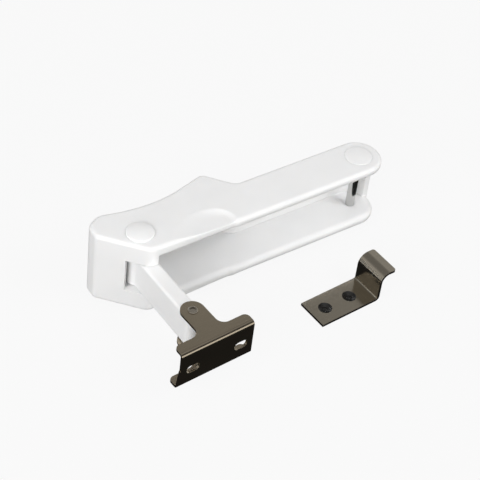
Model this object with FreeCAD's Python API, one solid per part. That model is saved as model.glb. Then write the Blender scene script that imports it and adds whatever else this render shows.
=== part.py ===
"""Over-centre draw latch for a gate or door: a white moulded lever, a white link,
a folded steel base bracket and a loose steel keeper.

All sizes are in millimetres. The base bracket's web is screwed to a panel.
+X runs along the web, +Y points away from the panel, and +Z runs along the hinge axes.
The origin is the centre of the two screw slots, on the web's outer face.
"""
import os

import FreeCAD
import Part
from math import atan, cos, degrees, hypot, pi, radians, sin, tan
from FreeCAD import Rotation, Vector

# Where the pieces stand
mid_z = 1.2                  # the hinge pieces' middle plane, above the slots' centre
rivet_y = 20.8               # rivet axis, out from the panel
pivot_x, pivot_y = 1.7, 67.7  # pivot pin axis with the latch half open
lever_angle = -3.0           # lever direction in the half open pose, degrees from +X

# Lever
hook_reach, hook_drop = 128.8, 1.5  # hook pin from the pivot pin, along and across the lever
lever_half_width = 12.0      # narrow handle end
pivot_half_height = 20.9     # taller block around the pivot
handle_half_height = 19.0
block_end_x = 6.0            # the block keeps its full height up to here
handle_start_x = 54.0        # and has come down to the handle's height here
height_blend_r = 150.0
near_edge_y = -12.9          # open side's edge beside the pivot
crest_x, crest_y = 49.8, 24.3
dip_x, dip_y, dip_r = 13.5, 13.7, 75.0  # hollow of the far edge between the block and the crest
face_distance = 9.5          # slanted end face, out from the pivot axis
face_normal = Vector(-0.743, -0.669, 0)
block_left_x = -19.8
near_corner_r = 6.0
plate_t = 5.4                # at the handle; the block's plates are thicker
wall_t = 2.8
edge_round = 2.0
mouth_round = 2.7            # rounded inner edge of the plates along the open side
mouth_depth = 12.0           # how far the mouth's cutter stands off the slanted face and the end
wall_end_angle = 5.0         # where the round end's wall stops, degrees from the lever's axis
window_edge = 15.3           # closed width of the slanted face, from its outer corner
pivot_pad_r, pivot_pad_z = 8.8, 9.7
pivot_pad_end_x = 3.0        # the pads fill the block from its slanted face up to here
hook_pad_r, hook_pad_z = 9.0, 13.0

# Thumb relief: a skewed shallow bowl, cut by half by the open side's edge
relief_x, relief_y = 28.5, -14.0
relief_half_length, relief_half_width = 20.5, 13.5
relief_turn = 22.0
relief_skew = 0.75           # how far the deepest point sits towards the hook end
relief_steps = ((1.1, -0.06), (1.0, 0.0), (0.9, 0.12), (0.8, 0.34), (0.65, 0.68), (0.5, 0.93),
                (0.35, 1.08), (0.2, 1.15))  # (share of the rim's size, depth)

# Pins and caps
pivot_pin_r = 2.5
hook_pin_r = 2.4
cap_r, cap_crown = 6.9, 2.0
hook_cap_r, hook_cap_crown = 7.2, 0.7
cap_seat = 2.0               # depth of a cap's seat below the plate's face
cap_edge_r = 0.6
cap_dome_share = 0.6         # part of the crown that is dome; the rest is its straight rim
pin_chamfer = 0.4

# Link
link_half_width = 4.2
link_half_height = 9.3
link_barrel_r = 6.1
link_edge_round = 1.4
running_clearance = 0.06

# Base bracket
bracket_t = 1.2
bracket_half_length = 20.4
bracket_flare = 1.8          # the web's lower left corner reaches this much further
bracket_half_height = 10.7
bend_r = 2.0
ear_depth = 6.7
lug_r = 6.0
neck_r = 4.5
ear_corner_r = 2.8
web_corner_r = 2.5
slot_spacing = 27.0
slot_length, slot_width = 7.4, 4.6
rivet_r, rivet_head_r, rivet_head_t = 1.6, 2.4, 0.6
rivet_bore_r, rivet_bore_depth = 1.5, 0.5  # the rivet's rolled end is hollow

# Keeper
keeper_t = 1.5
keeper_left_x, keeper_centre_y = 68.6, 12.0
keeper_width, keeper_flat, keeper_height, keeper_lip = 17.4, 34.7, 17.3, 9.6
keeper_lip_drop = 0.4        # the lip's tip lies this much below its crest
keeper_bend_r, keeper_lip_r = 0.9, 5.5
keeper_corner_r = 1.2
keeper_hole_inset, keeper_hole_spacing = 8.3, 15.4
screw_hole_r, countersink_r, countersink_depth = 1.6, 3.6, 1.1

floor_z = mid_z - pivot_half_height - cap_crown
far = 60.0                   # well outside every piece, for cutting shapes


def rounded_wire(corners):
    """Closed wire through (x, y, radius) corners, each rounded by an arc."""
    count = len(corners)
    points = [Vector(x, y, 0) for x, y, _ in corners]
    spans = []
    for i, (_, _, r) in enumerate(corners):
        corner = points[i]
        back = (points[i - 1] - corner).normalize()
        ahead = (points[(i + 1) % count] - corner).normalize()
        half_turn = (pi - back.getAngle(ahead)) / 2
        reach = r * tan(half_turn)
        bisector = (back + ahead).normalize() if r else Vector()
        middle = corner + bisector * (r / cos(half_turn) - r)
        spans.append((corner + back * reach, middle, corner + ahead * reach))
    edges = []
    for i, (start, middle, end) in enumerate(spans):
        if (end - start).Length > 1e-6:
            edges.append(Part.Arc(start, middle, end).toShape())
        following = spans[(i + 1) % count][0]
        if (following - end).Length > 1e-6:
            edges.append(Part.LineSegment(end, following).toShape())
    return Part.Wire(edges)


def prism(wire, low, high):
    """Solid between two heights above a flat wire."""
    face = Part.Face(wire)
    face.translate(Vector(0, 0, low))
    return face.extrude(Vector(0, 0, high - low))


def upright_prism(wire, near, far):
    """The same, with the wire's y standing up as z and the depth along y."""
    solid = prism(wire, -far, -near)
    solid.rotate(Vector(), Vector(1, 0, 0), 90)
    return solid


def disc(x, y, r, low, high):
    return Part.makeCylinder(r, high - low, Vector(x, y, low))


def horizontal_edges(solid, z):
    """Edges that lie wholly at one height."""
    return [e for e in solid.Edges
            if abs(e.BoundBox.ZMin - z) < 1e-4 and abs(e.BoundBox.ZMax - z) < 1e-4]


def on_plan(edge):
    """An edge's middle, dropped to z = 0."""
    middle = edge.valueAt((edge.FirstParameter + edge.LastParameter) / 2)
    return Vector(middle.x, middle.y, 0)


def lever_outline():
    """Plan of the lever, pivot pin at the origin, handle along +X, open side towards -Y."""
    tip_x = hook_reach + lever_half_width
    handle_near_y, handle_far_y = -hook_drop - lever_half_width, -hook_drop + lever_half_width

    def face_y(x):
        return (face_distance - face_normal.x * x) / face_normal.y

    face_near_x = (face_distance - face_normal.y * near_edge_y) / face_normal.x
    return rounded_wire([
        (face_near_x, near_edge_y, near_corner_r),
        (45.5, near_edge_y, 4),
        (48.0, handle_near_y, 4),
        (tip_x, handle_near_y, lever_half_width),
        (tip_x, handle_far_y, lever_half_width),
        (61.6, handle_far_y, 6),
        (crest_x, crest_y, 4),
        (dip_x, dip_y, dip_r),
        (-11.5, 20.5, 8),
        (block_left_x + 0.3, 16.1, 6),
        (block_left_x, face_y(block_left_x), 3),
    ])


def lever_side():
    """Side view of the lever: a tall block that comes down to the handle."""
    top = [(3 * far, handle_half_height, 0), (handle_start_x, handle_half_height, height_blend_r),
           (block_end_x, pivot_half_height, height_blend_r), (-far, pivot_half_height, 0)]
    return rounded_wire(top + [(x, -z, r) for x, z, r in reversed(top)])


def thumb_relief():
    """Shallow bowl in the upper plate's outer face, steep towards the hook end."""
    slope = (pivot_half_height - handle_half_height) / (handle_start_x - block_end_x)
    surface_z = pivot_half_height - slope * (relief_x - block_end_x)
    sections = []
    for scale, depth in relief_steps:
        centre = Vector(relief_skew * relief_half_length * (1 - scale), 0, -depth)
        ring = Part.Ellipse(centre, relief_half_length * scale, relief_half_width * scale)
        sections.append(Part.Wire([ring.toShape()]))
    bowl = Part.makeLoft(sections, True, False)
    bowl.rotate(Vector(), Vector(0, 0, 1), relief_turn)
    bowl.rotate(Vector(), Vector(0, 1, 0), degrees(atan(slope)))
    bowl.translate(Vector(relief_x, relief_y, surface_z))
    return bowl


def mouth_outline(outline_left):
    """Plan of the cutter that opens the lever's near side, from the face's window to the round end."""
    outer_corner = Vector(block_left_x, outline_left, 0)
    along_face = Vector(-face_normal.y, face_normal.x, 0)
    window = outer_corner + along_face * window_edge
    inside = window - face_normal * (wall_t + 0.5)
    outside = window + face_normal * mouth_depth
    wall_end = Vector(hook_reach + lever_half_width * cos(radians(wall_end_angle)),
                      lever_half_width * sin(radians(wall_end_angle)) - hook_drop, 0)
    beyond = wall_end + Vector(mouth_depth, 0, 0)
    return Part.makePolygon([
        outside, inside, Vector(hook_reach, wall_end.y, 0), wall_end, beyond,
        Vector(beyond.x, -far, 0), Vector(outside.x, -far, 0), outside])


def lever_body():
    """One moulding: two plates joined by the outer wall and part of the slanted face."""
    outline = lever_outline()
    block = prism(outline, -far, far).common(upright_prism(lever_side(), -far, far))
    block = block.removeSplitter()
    rim = [e for e in block.Edges if abs(e.tangentAt(e.FirstParameter).z) < 0.9]
    block = block.makeFillet(edge_round, rim)

    cavity_half = handle_half_height - plate_t
    face_left_y = (face_distance - face_normal.x * block_left_x) / face_normal.y
    cavity = prism(outline.makeOffset2D(-wall_t), -cavity_half, cavity_half)
    cavity = cavity.fuse(prism(mouth_outline(face_left_y), -cavity_half, cavity_half))
    shell = block.cut(cavity)
    lips = [e for z in (-cavity_half, cavity_half) for e in horizontal_edges(shell, z)
            if outline.distToShape(Part.Vertex(on_plan(e)))[0] < 1e-3]
    shell = shell.makeFillet(mouth_round, lips)

    pads = []
    pad_root = cavity_half + mouth_round + 0.5
    behind_pivot = Part.makeBox(far, 2 * far, 2 * far, Vector(pivot_pad_end_x - far, -far, -far))
    for side in (-1, 1):
        low, high = sorted((side * pivot_pad_z, side * pad_root))
        pads.append(prism(outline, low, high).common(behind_pivot))
        pads.append(disc(0, 0, pivot_pad_r, low, high))
    pads.append(disc(hook_reach, -hook_drop, hook_pad_r, hook_pad_z, pad_root))
    body = shell.fuse(pads)

    relief = thumb_relief()
    cuts = [relief, relief.mirror(Vector(), Vector(0, 0, 1))]
    cuts += [disc(0, 0, pivot_pin_r, -far, far), disc(hook_reach, -hook_drop, hook_pin_r, -far, far)]
    for x, y, r, half in ((0, 0, cap_r, pivot_half_height),
                          (hook_reach, -hook_drop, hook_cap_r, handle_half_height)):
        cuts += [disc(x, y, r, half - cap_seat, far), disc(x, y, r, -far, cap_seat - half)]
    return body.cut(cuts).removeSplitter()


def cap(r, crown, half):
    """Domed plug whose seat is cap_seat below the plate's face at height half."""
    dome = crown * cap_dome_share
    dome_r = (r * r + dome * dome) / (2 * dome)
    top = half + crown
    plug = disc(0, 0, r, half - cap_seat, top)
    plug = plug.common(Part.makeSphere(dome_r, Vector(0, 0, top - dome_r)))
    rim = [e for e in plug.Edges if e.BoundBox.ZMin > half - cap_seat + 0.1
           and e.BoundBox.ZMax - e.BoundBox.ZMin < 1e-4]
    return plug.makeFillet(cap_edge_r, rim)


def pin(r, half_length):
    shaft = disc(0, 0, r, -half_length, half_length)
    rings = [e for e in shaft.Edges if e.Curve.TypeId == "Part::GeomCircle"]
    return shaft.makeChamfer(pin_chamfer, rings)


def link_arm():
    """Bar from the rivet at the origin to the pivot barrel on +X."""
    length = hypot(pivot_x, pivot_y - rivet_y)
    half = link_half_width
    bar = prism(rounded_wire([(-half, -half, half), (length, -half, 0), (length, half, 0),
                              (-half, half, half)]), -link_half_height, link_half_height)
    body = bar.fuse(disc(length, 0, link_barrel_r, -link_half_height, link_half_height))
    body = body.removeSplitter()
    rim = horizontal_edges(body, link_half_height) + horizontal_edges(body, -link_half_height)
    body = body.makeFillet(link_edge_round, rim)
    holes = [disc(0, 0, rivet_r + running_clearance, -20, 20),
             disc(length, 0, pivot_pin_r + running_clearance, -20, 20)]
    return body.cut(holes)


def ear_outline(left_x):
    """Ear strip with its lug, y out from the panel."""
    right_x = bracket_half_length
    lug_end = rivet_y + lug_r
    return rounded_wire([
        (left_x, -1, 0), (right_x, -1, 0), (right_x, ear_depth, ear_corner_r), (lug_r, ear_depth, neck_r),
        (lug_r, lug_end, lug_r), (-lug_r, lug_end, lug_r), (-lug_r, ear_depth, neck_r),
        (left_x, ear_depth, ear_corner_r)])


def base_bracket():
    """Folded sheet: a web with two screw slots and an ear with a lug above and below."""
    half, depth = bracket_half_height, rivet_y + lug_r
    reach = bracket_half_length + bracket_flare
    outer = Part.makeBox(2 * reach, depth + 5, 2 * half, Vector(-reach, 0, -half))
    folds = [e for e in outer.Edges if e.BoundBox.YMax < 0.01 and e.BoundBox.XMax - e.BoundBox.XMin > 1]
    outer = outer.makeFillet(bend_r, folds)
    room = half - bracket_t
    inner = Part.makeBox(2 * reach, depth + 5, 2 * room, Vector(-reach, bracket_t, -room))
    folds = [e for e in inner.Edges if e.BoundBox.YMax < bracket_t + 0.01
             and e.BoundBox.XMax - e.BoundBox.XMin > 1]
    inner = inner.makeFillet(bend_r - bracket_t, folds)
    channel = outer.cut(inner)

    upper = prism(ear_outline(-bracket_half_length), 0, half + 1)
    lower = prism(ear_outline(-reach), -half - 1, 0)
    web = upright_prism(rounded_wire([
        (-bracket_half_length, half + 1, 0), (-bracket_half_length, 2.0, 3),
        (-reach, -half - 1, 0), (bracket_half_length, -half - 1, web_corner_r),
        (bracket_half_length, half + 1, 0)]), -1, ear_depth)
    lugs = Part.makeBox(2 * reach, depth + 5, 2 * half + 2, Vector(-reach, ear_depth, -half - 1))
    body = channel.common(upper.fuse(lower)).common(web.fuse(lugs))

    cuts = [disc(0, rivet_y, rivet_r, -20, 20)]
    for x in (-slot_spacing / 2, slot_spacing / 2):
        left, right = x - slot_length / 2, x + slot_length / 2
        low, high = -mid_z - slot_width / 2, -mid_z + slot_width / 2
        slot = rounded_wire([(px, pz, slot_width / 2) for px, pz in
                             ((left, low), (right, low), (right, high), (left, high))])
        cuts.append(upright_prism(slot, -5, 5))
    return body.cut(cuts).removeSplitter()


def bracket_rivet():
    """Headed at both ears; the upper end is rolled over and hollow."""
    half = bracket_half_height
    body = disc(0, rivet_y, rivet_r, -half, half)
    for side in (-1, 1):
        low, high = sorted((side * half, side * (half + rivet_head_t)))
        head = disc(0, rivet_y, rivet_head_r, low, high)
        rim = horizontal_edges(head, side * (half + rivet_head_t))
        body = body.fuse(head.makeFillet(rivet_head_t * 0.7, rim))
    top = half + rivet_head_t
    return body.cut(disc(0, rivet_y, rivet_bore_r, top - rivet_bore_depth, top)).removeSplitter()


def keeper():
    """Strip folded up and over: flat plate, riser and a lip that points away from the plate."""
    t, width, drop = keeper_t, keeper_width, keeper_lip_drop
    riser_x, height = keeper_flat, keeper_height
    tip_x = riser_x + keeper_lip
    profile = rounded_wire([
        (0, 0, 0), (riser_x + t, 0, keeper_bend_r + t), (riser_x + t, height - t, keeper_lip_r - t),
        (tip_x, height - t - drop, 0), (tip_x, height - drop, 0), (riser_x, height, keeper_lip_r),
        (riser_x, t, keeper_bend_r), (0, t, 0)])
    body = upright_prism(profile, -width / 2, width / 2)
    plan = rounded_wire([(0, -width / 2, 0), (tip_x, -width / 2, keeper_corner_r),
                         (tip_x, width / 2, keeper_corner_r), (0, width / 2, 0)])
    body = body.common(prism(plan, -1, height + 1))
    holes = []
    for i in range(2):
        x = keeper_hole_inset + i * keeper_hole_spacing
        cone_floor = Vector(x, 0, t - countersink_depth)
        holes.append(disc(x, 0, screw_hole_r, -1, t))
        holes.append(Part.makeCone(screw_hole_r, countersink_r, countersink_depth, cone_floor))
    body = body.cut(holes)
    body.translate(Vector(keeper_left_x, keeper_centre_y, floor_z - mid_z))
    return body


def place(shape, spot, angle=0):
    """Turn a piece about its own origin and set that origin down at a spot."""
    shape.rotate(Vector(), Vector(0, 0, 1), angle)
    shape.translate(spot)
    return shape


def main():
    rivet = Vector(0, rivet_y, 0)
    pivot = Vector(pivot_x, pivot_y, 0)
    hook = pivot + Rotation(Vector(0, 0, 1), lever_angle).multVec(Vector(hook_reach, -hook_drop, 0))
    pivot_cap = cap(cap_r, cap_crown, pivot_half_height)
    hook_cap = cap(hook_cap_r, hook_cap_crown, handle_half_height)
    link_angle = degrees(Vector(1, 0, 0).getAngle(pivot - rivet))
    flip = Rotation(Vector(1, 0, 0), 180)

    def turned_over(shape):
        other = shape.copy()
        other.Placement = FreeCAD.Placement(Vector(), flip).multiply(other.Placement)
        return other

    pieces = {
        "base_bracket": base_bracket(),
        "bracket_rivet": bracket_rivet(),
        "link_arm": place(link_arm(), rivet, link_angle),
        "lever_body": place(lever_body(), pivot, lever_angle),
        "pivot_pin": place(pin(pivot_pin_r, pivot_half_height - cap_seat), pivot),
        "pivot_cap_top": place(pivot_cap.copy(), pivot),
        "pivot_cap_bottom": place(turned_over(pivot_cap), pivot),
        "hook_pin": place(pin(hook_pin_r, handle_half_height - cap_seat), hook),
        "hook_cap_top": place(hook_cap.copy(), hook),
        "hook_cap_bottom": place(turned_over(hook_cap), hook),
        "keeper": keeper(),
    }
    os.makedirs("parts", exist_ok=True)
    for name, shape in pieces.items():
        shape.translate(Vector(0, 0, mid_z))
        solids = shape.Solids
        print(name, "solids", len(solids), "valid", shape.isValid(), "volume", round(shape.Volume, 1))
        if len(solids) == 1:
            shape = solids[0]
        shape.exportStep(os.path.join("parts", name + ".step"))


main()
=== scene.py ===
"""Looks for the gate latch: moulded white plastic, warm grey steel, polished pins, floor, lights, camera."""
import math

import bpy
from mathutils import Matrix, Vector


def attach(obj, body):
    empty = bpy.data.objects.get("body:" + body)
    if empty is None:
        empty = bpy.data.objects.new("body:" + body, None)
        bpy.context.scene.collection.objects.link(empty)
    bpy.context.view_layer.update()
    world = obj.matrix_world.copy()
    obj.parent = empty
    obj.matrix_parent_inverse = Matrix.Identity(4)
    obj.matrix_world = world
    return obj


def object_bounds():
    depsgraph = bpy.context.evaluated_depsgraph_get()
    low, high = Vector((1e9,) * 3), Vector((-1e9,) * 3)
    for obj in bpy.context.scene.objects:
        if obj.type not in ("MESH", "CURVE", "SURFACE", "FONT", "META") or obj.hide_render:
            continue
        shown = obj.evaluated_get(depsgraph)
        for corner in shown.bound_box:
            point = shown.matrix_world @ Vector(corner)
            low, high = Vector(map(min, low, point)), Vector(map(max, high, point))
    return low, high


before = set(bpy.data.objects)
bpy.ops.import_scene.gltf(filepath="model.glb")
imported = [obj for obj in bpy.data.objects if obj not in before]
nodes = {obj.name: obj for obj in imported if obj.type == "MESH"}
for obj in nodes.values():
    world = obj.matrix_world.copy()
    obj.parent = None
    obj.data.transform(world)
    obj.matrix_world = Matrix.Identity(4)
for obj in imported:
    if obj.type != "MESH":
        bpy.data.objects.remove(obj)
cad_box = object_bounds()
floor_z = cad_box[0].z
MM = 0.001

# Camera: the point it looks at in metres, its distance, and its angles in degrees.
AIM = Vector((0.05516, 0.05684, 0.0))
CAMERA_DISTANCE = 0.7794
CAMERA_HEADING = 41.57
CAMERA_ELEVATION = 43.2
CAMERA_ROLL = 7.35
CAMERA_LENS = 118.25
SENSOR = 36.0
CAMERA_NEAR, CAMERA_FAR = 0.01, 20

# World: (height of the direction, level of light). The front half has a bright horizon under a dark sky;
# the back half is dimmer and more even. The two halves blend between BACK_STARTS and BACK_FULL along +Y.
FRONT_LEVELS = ((-0.3, 0.02), (-0.12, 1.3), (0.25, 1.3), (0.4, 0.1), (0.75, 0.06), (0.95, 0.5))
BACK_LEVELS = ((-0.1, 0.02), (0.0, 0.4), (0.15, 0.5), (0.5, 0.5), (0.6, 0.52), (0.66, 0.4), (0.7, 0.34),
               (0.78, 0.24), (0.95, 0.24))
BACK_STARTS, BACK_FULL = -0.1, 0.35
WORLD_TINT = (1.0, 0.985, 0.96)

# Area lights: name, direction towards the light, distance, width, height, watts, colour, seen in reflections.
# The low back light leaves the front as it is and keeps the back from going grey.
NEUTRAL, COOL = (1.0, 1.0, 1.0), (0.985, 0.99, 1.0)
LIGHTS = (
    ("top_light", (0.0, -0.12, 1.0), 1.5, 1.1, 1.1, 0.6, NEUTRAL, True),
    ("left_light", (-0.85, -0.28, 0.45), 1.3, 0.9, 0.7, 11.1, COOL, False),
    ("right_light", (0.45, -0.58, 0.7), 1.3, 0.7, 0.5, 7.5, COOL, False),
    ("back_light", (0.25, 1.0, 0.03), 1.3, 0.9, 0.5, 4.5, NEUTRAL, False),
)
LIGHT_TARGET = Vector((0.05, 0.05, 0.0))

FLOOR_GLOW, FLOOR_ALBEDO = 0.91, 0.04
FLOOR_HALF_WIDTH = 3.0

# Painted shade: dark discs that fill the keeper's screw holes, where there is only shade: (radius, height
# above the floor)
HOLE_X, HOLE_Y = (76.9 * MM, 92.3 * MM), 12.0 * MM
HOLE_PROFILE = [(r * MM, z * MM) for r, z in ((0, 0.02), (1.58, 0.02), (1.58, 0.42), (3.56, 1.5), (3.5, 1.5),
                                             (1.52, 0.45), (1.5, 0.12), (0, 0.12))]

# Stub left by the moulding gate on the upper plate's near edge: (radius, height above its middle)
GATE_PLACE = (76.84 * MM, 51.17 * MM, 19.3 * MM)
GATE_PROFILE = [(r * MM, z * MM) for r, z in ((0, -0.5), (0.55, -0.5), (0.5, 0.3), (0.3, 0.45), (0, 0.48))]
GATE_STEPS = 24

# Colours, and the radius of the softened edges of each kind of piece
WHITE = (0.93, 0.931, 0.932)
BRACKET_STEEL, KEEPER_STEEL = (0.44, 0.38, 0.29), (0.44, 0.4, 0.33)
RIVET_STEEL, PIN_STEEL = (0.46, 0.42, 0.36), (0.6, 0.6, 0.59)
MOULDED_EDGE, CAP_EDGE = 0.35 * MM, 0.2 * MM
# The last of these radii is for the painted shade discs in the keeper's screw holes.
SHEET_EDGE, PIN_EDGE, HOLE_SHADE_EDGE = 0.15 * MM, 0.1 * MM, 0.05 * MM
EDGE_SAMPLES = 6

# Noise stays mostly between these two values; both colour and roughness are spread over them.
NOISE_LOW, NOISE_HIGH = 0.3, 0.7

# Grain of the plastic, per metre, and the depth of its relief
WAVES_PER_METRE, WAVE_DEPTH = 70, 0.08 * MM
GRAIN_PER_METRE, GRAIN_DEPTH = 2600, 0.006 * MM
# Painted shade: the plastic's colour is darkened by this factor in the hollows of the waves.
WAVE_SHADE = 0.975           # colour in the hollows of the waves
SCATTER_WEIGHT, SCATTER_DEPTH = 0.3, 1.5 * MM
SCATTER_COLOR = (1.0, 0.95, 0.9)

# Rolled grain and handling marks of the sheet steel
ROLLING_STRETCH, ROLLING_DEPTH = (90, 2600, 2600), 0.002 * MM
SMUDGES_PER_METRE, SMUDGE_DEPTH = 60, 0.006 * MM
ROLLING_SHADES = (0.95, 1.04)

# Rings round the pins
RING_STRETCH, RING_DEPTH = (300, 300, 4000), 0.002 * MM

# Painted shade in the keeper's screw holes: near-black colours, spread by a speckle noise that also sets
# their roughness and relief
SHADE_SPECKLE_PER_METRE, SHADE_SPECKLE_DEPTH = 900, 0.01 * MM
DARK, LESS_DARK = (0.006, 0.006, 0.006), (0.016, 0.015, 0.014)


def make_camera():
    heading, elevation = math.radians(CAMERA_HEADING), math.radians(CAMERA_ELEVATION)
    roll = math.radians(CAMERA_ROLL)
    ahead = Vector((math.cos(elevation) * math.sin(heading), math.cos(elevation) * math.cos(heading),
                    -math.sin(elevation)))
    level_right = Vector((math.cos(heading), -math.sin(heading), 0))
    level_up = level_right.cross(ahead)
    right = level_right * math.cos(roll) + level_up * math.sin(roll)
    up = level_up * math.cos(roll) - level_right * math.sin(roll)
    camera = bpy.data.objects.new("camera", bpy.data.cameras.new("camera"))
    bpy.context.scene.collection.objects.link(camera)
    camera.data.lens = CAMERA_LENS
    camera.data.sensor_width = SENSOR
    camera.data.clip_start, camera.data.clip_end = CAMERA_NEAR, CAMERA_FAR
    turn = Matrix((right, up, -ahead)).transposed().to_4x4()
    camera.matrix_world = Matrix.Translation(AIM - ahead * CAMERA_DISTANCE) @ turn
    bpy.context.scene.camera = camera


def make_world():
    world = bpy.data.worlds.new("studio")
    bpy.context.scene.world = world
    world.use_nodes = True
    tree = world.node_tree
    direction = tree.nodes.new("ShaderNodeTexCoord")
    split = tree.nodes.new("ShaderNodeSeparateXYZ")
    tree.links.new(direction.outputs["Generated"], split.inputs[0])
    height = spread(tree, split.outputs["Z"], 0, 1, -1, 1)
    mix = tree.nodes.new("ShaderNodeMix")
    mix.data_type = "RGBA"
    tree.links.new(spread(tree, split.outputs["Y"], 0, 1, BACK_STARTS, BACK_FULL), mix.inputs["Factor"])
    for levels, side in ((FRONT_LEVELS, "A"), (BACK_LEVELS, "B")):
        ramp = tree.nodes.new("ShaderNodeValToRGB")
        fill_ramp(ramp, [((z + 1) / 2, [level * tint for tint in WORLD_TINT]) for z, level in levels])
        tree.links.new(height, ramp.inputs[0])
        socket = next(s for s in mix.inputs if s.name == side and s.type == "RGBA")
        tree.links.new(ramp.outputs[0], socket)
    color = next(s for s in mix.outputs if s.type == "RGBA")
    tree.links.new(color, tree.nodes["Background"].inputs["Color"])


def make_lights():
    for name, direction, distance, width, height, watts, color, mirrored in LIGHTS:
        light = bpy.data.objects.new(name, bpy.data.lights.new(name, "AREA"))
        bpy.context.scene.collection.objects.link(light)
        light.data.shape = "RECTANGLE"
        light.data.size, light.data.size_y = width, height
        light.data.energy = watts
        light.data.color = color
        light.visible_glossy = mirrored
        towards = Vector(direction).normalized()
        light.location = LIGHT_TARGET + towards * distance
        light.rotation_mode = "QUATERNION"
        light.rotation_quaternion = (-towards).to_track_quat("-Z", "Y")


def make_floor():
    """White paper that glows evenly and lights nothing."""
    size, z = FLOOR_HALF_WIDTH, floor_z
    mesh = bpy.data.meshes.new("floor")
    mesh.from_pydata([(-size, -size, z), (size, -size, z), (size, size, z), (-size, size, z)], [],
                     [(0, 1, 2, 3)])
    floor = bpy.data.objects.new("floor", mesh)
    bpy.context.scene.collection.objects.link(floor)
    floor.visible_glossy = floor.visible_diffuse = False
    material, tree, shader = new_material("floor_paper")
    shader.inputs["Base Color"].default_value = (FLOOR_ALBEDO, FLOOR_ALBEDO, FLOOR_ALBEDO, 1)
    shader.inputs["Roughness"].default_value = 1.0
    shader.inputs["Specular IOR Level"].default_value = 0.0
    shader.inputs["Emission Color"].default_value = (1, 1, 1, 1)
    shader.inputs["Emission Strength"].default_value = FLOOR_GLOW
    mesh.materials.append(material)


def new_material(name):
    material = bpy.data.materials.new(name)
    material.use_nodes = True
    return material, material.node_tree, material.node_tree.nodes["Principled BSDF"]


def fill_ramp(ramp, stops):
    elements = ramp.color_ramp.elements
    elements.remove(elements[-1])
    for i, (position, color) in enumerate(stops):
        stop = elements[0] if i == 0 else elements.new(position)
        stop.position = position
        stop.color = (*color, 1)


def noise(tree, per_metre, detail=2.0, stretch=(1, 1, 1)):
    """Fine grain fixed to the piece; stretch gives the frequency along each axis."""
    place = tree.nodes.new("ShaderNodeTexCoord")
    mapping = tree.nodes.new("ShaderNodeMapping")
    grain = tree.nodes.new("ShaderNodeTexNoise")
    mapping.inputs["Scale"].default_value = stretch
    grain.inputs["Scale"].default_value = per_metre
    grain.inputs["Detail"].default_value = detail
    tree.links.new(place.outputs["Object"], mapping.inputs["Vector"])
    tree.links.new(mapping.outputs["Vector"], grain.inputs["Vector"])
    return grain.outputs["Fac"]


def spread(tree, value, low, high, start=NOISE_LOW, end=NOISE_HIGH):
    """Carry a value between start and end onto the range low to high."""
    node = tree.nodes.new("ShaderNodeMapRange")
    for name, number in (("From Min", start), ("From Max", end), ("To Min", low), ("To Max", high)):
        node.inputs[name].default_value = number
    tree.links.new(value, node.inputs["Value"])
    return node.outputs["Result"]


def blend(tree, value, first, second):
    """Colour that goes from first to second as the noise rises."""
    ramp = tree.nodes.new("ShaderNodeValToRGB")
    fill_ramp(ramp, [(NOISE_LOW, first), (NOISE_HIGH, second)])
    tree.links.new(value, ramp.inputs[0])
    return ramp.outputs[0]


def relief(tree, shader, edge_radius, layers):
    """Softened edges under one or more layers of bumps; a layer is (height, depth)."""
    edge = tree.nodes.new("ShaderNodeBevel")
    edge.samples = EDGE_SAMPLES
    edge.inputs["Radius"].default_value = edge_radius
    normal = edge.outputs["Normal"]
    for height, depth in layers:
        bump = tree.nodes.new("ShaderNodeBump")
        bump.inputs["Distance"].default_value = depth
        tree.links.new(height, bump.inputs["Height"])
        tree.links.new(normal, bump.inputs["Normal"])
        normal = bump.outputs["Normal"]
    tree.links.new(normal, shader.inputs["Normal"])


def moulded_plastic(name, color, roughness, edge_radius):
    """Satin white moulding: spark-eroded grain, faint waves where the walls shrank with painted shade in
    their hollows, a little light inside.
    """
    material, tree, shader = new_material(name)
    waves, grain = noise(tree, WAVES_PER_METRE, 1.0), noise(tree, GRAIN_PER_METRE, 3.0)
    # Painted shade: the colour is darker in the hollows of the waves.
    darker = [channel * WAVE_SHADE for channel in color]
    tree.links.new(blend(tree, waves, darker, color), shader.inputs["Base Color"])
    tree.links.new(spread(tree, grain, roughness - 0.05, roughness + 0.06), shader.inputs["Roughness"])
    shader.inputs["Subsurface Weight"].default_value = SCATTER_WEIGHT
    shader.inputs["Subsurface Radius"].default_value = SCATTER_COLOR
    shader.inputs["Subsurface Scale"].default_value = SCATTER_DEPTH
    relief(tree, shader, edge_radius, [(waves, WAVE_DEPTH), (grain, GRAIN_DEPTH)])
    return material


def sheet_steel(name, color, roughness):
    """Rolled stainless sheet: long fine grain, handling marks and softly sheared edges."""
    material, tree, shader = new_material(name)
    grain = noise(tree, 1.0, 3.0, ROLLING_STRETCH)
    smudges = noise(tree, SMUDGES_PER_METRE, 2.0)
    darker, lighter = ([channel * shade for channel in color] for shade in ROLLING_SHADES)
    tree.links.new(blend(tree, grain, darker, lighter), shader.inputs["Base Color"])
    tree.links.new(spread(tree, smudges, roughness - 0.03, roughness + 0.04), shader.inputs["Roughness"])
    shader.inputs["Metallic"].default_value = 1.0
    relief(tree, shader, SHEET_EDGE, [(smudges, SMUDGE_DEPTH), (grain, ROLLING_DEPTH)])
    return material


def polished_steel(name, color, roughness):
    """Ground pin stock with fine rings left by the grinding wheel."""
    material, tree, shader = new_material(name)
    rings = noise(tree, 1.0, 2.0, RING_STRETCH)
    shader.inputs["Base Color"].default_value = (*color, 1)
    shader.inputs["Metallic"].default_value = 1.0
    tree.links.new(spread(tree, rings, roughness - 0.04, roughness + 0.06), shader.inputs["Roughness"])
    relief(tree, shader, PIN_EDGE, [(rings, RING_DEPTH)])
    return material


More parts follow.
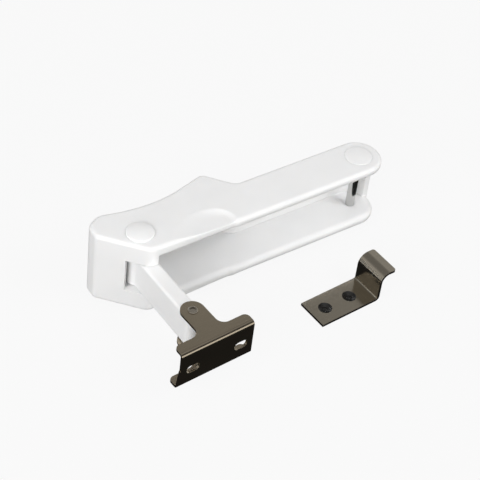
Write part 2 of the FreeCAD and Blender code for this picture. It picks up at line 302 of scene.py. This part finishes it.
def hole_shadow():
    """Painted shade: a dark, slightly glossy surface put inside a screw hole, where there is only shade."""
    material, tree, shader = new_material("hole_shadow")
    speckle = noise(tree, SHADE_SPECKLE_PER_METRE, 3.0)
    tree.links.new(blend(tree, speckle, DARK, LESS_DARK), shader.inputs["Base Color"])
    tree.links.new(spread(tree, speckle, 0.24, 0.34), shader.inputs["Roughness"])
    relief(tree, shader, HOLE_SHADE_EDGE, [(speckle, SHADE_SPECKLE_DEPTH)])
    return material


def give(material, *names):
    """Put one material on CAD nodes."""
    for name in names:
        mesh = nodes[name].data
        mesh.materials.clear()
        mesh.materials.append(material)


def turned(name, profile, center, material, body, steps=48):
    """A closed solid turned about an upright axis through center, carried by the body.
    profile: (radius, height) pairs that start and end on the axis."""
    rings = profile[1:-1]
    points = [(0, 0, profile[0][1])]
    for radius, height in rings:
        for i in range(steps):
            angle = 2 * math.pi * i / steps
            points.append((radius * math.cos(angle), radius * math.sin(angle), height))
    points.append((0, 0, profile[-1][1]))
    faces = []
    for i in range(steps):
        j = (i + 1) % steps
        faces.append((0, 1 + j, 1 + i))
        for ring in range(len(rings) - 1):
            low, high = 1 + ring * steps, 1 + (ring + 1) * steps
            faces.append((low + i, low + j, high + j, high + i))
        last = 1 + (len(rings) - 1) * steps
        faces.append((last + i, last + j, len(points) - 1))
    mesh = bpy.data.meshes.new(name)
    mesh.from_pydata(points, [], faces)
    piece = bpy.data.objects.new(name, mesh)
    bpy.context.scene.collection.objects.link(piece)
    mesh.materials.append(material)
    piece.location = center
    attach(piece, body)


make_camera()
make_world()
make_lights()
make_floor()
bpy.context.scene.view_settings.view_transform = "Standard"

lever_white = moulded_plastic("lever_white", WHITE, 0.5, MOULDED_EDGE)
give(lever_white, "lever_body")
give(moulded_plastic("link_white", WHITE, 0.46, MOULDED_EDGE), "link_arm")
give(moulded_plastic("cap_white", WHITE, 0.44, CAP_EDGE),
     "pivot_cap_top", "pivot_cap_bottom", "hook_cap_top", "hook_cap_bottom")
give(sheet_steel("bracket_steel", BRACKET_STEEL, 0.2), "base_bracket")
give(sheet_steel("keeper_steel", KEEPER_STEEL, 0.15), "keeper")
give(polished_steel("rivet_steel", RIVET_STEEL, 0.2), "bracket_rivet")
give(polished_steel("pin_steel", PIN_STEEL, 0.12), "hook_pin", "pivot_pin")

# Painted shade: dark discs in the keeper's screw holes, carried by the keeper.
hole_shade_material = hole_shadow()
for i, x in enumerate(HOLE_X):
    turned(f"keeper_hole_painted_shade_{i + 1}", HOLE_PROFILE, (x, HOLE_Y, floor_z), hole_shade_material, "keeper")
turned("gate_stub", GATE_PROFILE, GATE_PLACE, lever_white, "lever", GATE_STEPS)
